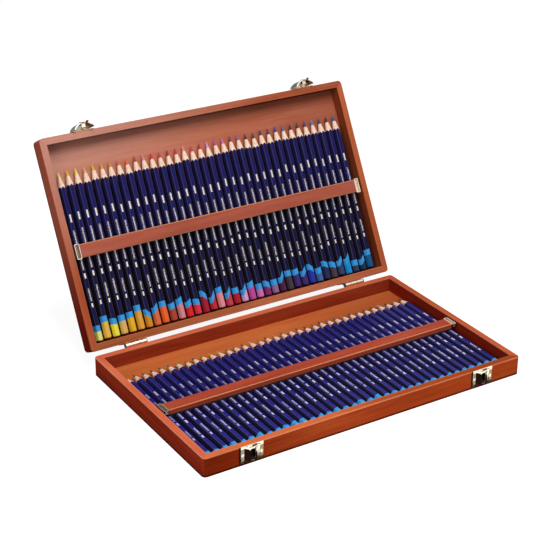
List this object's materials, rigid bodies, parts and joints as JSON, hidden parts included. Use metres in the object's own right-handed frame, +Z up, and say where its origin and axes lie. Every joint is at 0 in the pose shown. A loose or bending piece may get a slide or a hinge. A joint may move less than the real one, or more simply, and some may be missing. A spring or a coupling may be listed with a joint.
{
  "type": "hinged pencil case",
  "caption": "Stained wooden pencil case with two hinged trays, each holding a row of sharpened coloured pencils under a retaining bar, closed by two metal hasps.",
  "frame": {"origin": "middle of the base tray's flat underside, on the surface it stands on", "axes": "+X to the right along the case's width, +Y to the back where the hinges are, +Z up"},
  "size_m": [0.37, 0.3519, 0.2287],
  "materials": {
    "stained_rail_wood": "reddish stain, satin lacquer",
    "board_wood": "reddish stain, satin",
    "bar_wood": "reddish stain, satin lacquer",
    "comb_plastic": "soft dark plastic",
    "nickel": "pale nickel plate",
    "pencil_lacquer": "glossy dark blue lacquer"
  },
  "bodies": {
    "base_tray": {"base_front_rail": "stained_rail_wood", "base_back_rail": "stained_rail_wood", "base_left_rail": "stained_rail_wood", "base_right_rail": "stained_rail_wood", "base_panel": "board_wood", "strike_plates": "nickel", "base_hinge_leaves": "nickel"},
    "lid_tray": {"lid_front_rail": "stained_rail_wood", "lid_back_rail": "stained_rail_wood", "lid_left_rail": "stained_rail_wood", "lid_right_rail": "stained_rail_wood", "lid_panel": "board_wood", "latch_plates": "nickel", "lid_hinge_leaves": "nickel"},
    "hasp_left": {"hasp_left": "nickel"},
    "hasp_right": {"hasp_right": "nickel"},
    "base_bar": {"base_bar": "bar_wood", "base_bar_comb": "comb_plastic", "base_bar_springs": "nickel"},
    "lid_bar": {"lid_bar": "bar_wood", "lid_bar_comb": "comb_plastic", "lid_bar_springs": "nickel"},
    "base_pencils": {"base_pencils_1": "pencil_lacquer", "base_pencils_2": "pencil_lacquer", "base_pencils_3": "pencil_lacquer", "base_pencils_4": "pencil_lacquer", "base_pencils_5": "pencil_lacquer", "base_pencils_6": "pencil_lacquer"},
    "lid_pencils": {"lid_pencils_1": "pencil_lacquer", "lid_pencils_2": "pencil_lacquer", "lid_pencils_3": "pencil_lacquer", "lid_pencils_4": "pencil_lacquer", "lid_pencils_5": "pencil_lacquer", "lid_pencils_6": "pencil_lacquer"}
  },
  "joints": [
    {"name": "lid_hinge", "type": "hinge", "parent": "base_tray", "child": "lid_tray", "pos_m": [0, 0.1137, 0.02015], "axis": [-1, 0, 0], "range_deg": [-118.5, 0]},
    {"name": "hasp_left_swing", "type": "hinge", "parent": "lid_tray", "child": "hasp_left", "pos_m": [-0.135, 0.23469, 0.21333], "axis": [-1, 0, 0], "range_deg": [0, 110]},
    {"name": "hasp_right_swing", "type": "hinge", "parent": "lid_tray", "child": "hasp_right", "pos_m": [0.135, 0.23469, 0.21333], "axis": [-1, 0, 0], "range_deg": [0, 110]},
    {"name": "base_bar_lift", "type": "slide", "parent": "base_tray", "child": "base_bar", "axis": [0, 0, 1], "range_m": [0, 0.025]},
    {"name": "lid_bar_lift", "type": "slide", "parent": "lid_tray", "child": "lid_bar", "axis": [0, -0.8788, 0.4772], "range_m": [0, 0.025]},
    {"name": "base_pencils_slide", "type": "slide", "parent": "base_tray", "child": "base_pencils", "axis": [0, 1, 0], "range_m": [0, 0.022]},
    {"name": "lid_pencils_slide", "type": "slide", "parent": "lid_tray", "child": "lid_pencils", "axis": [0, 0.4772, 0.8788], "range_m": [0, 0.022]}
  ]
}
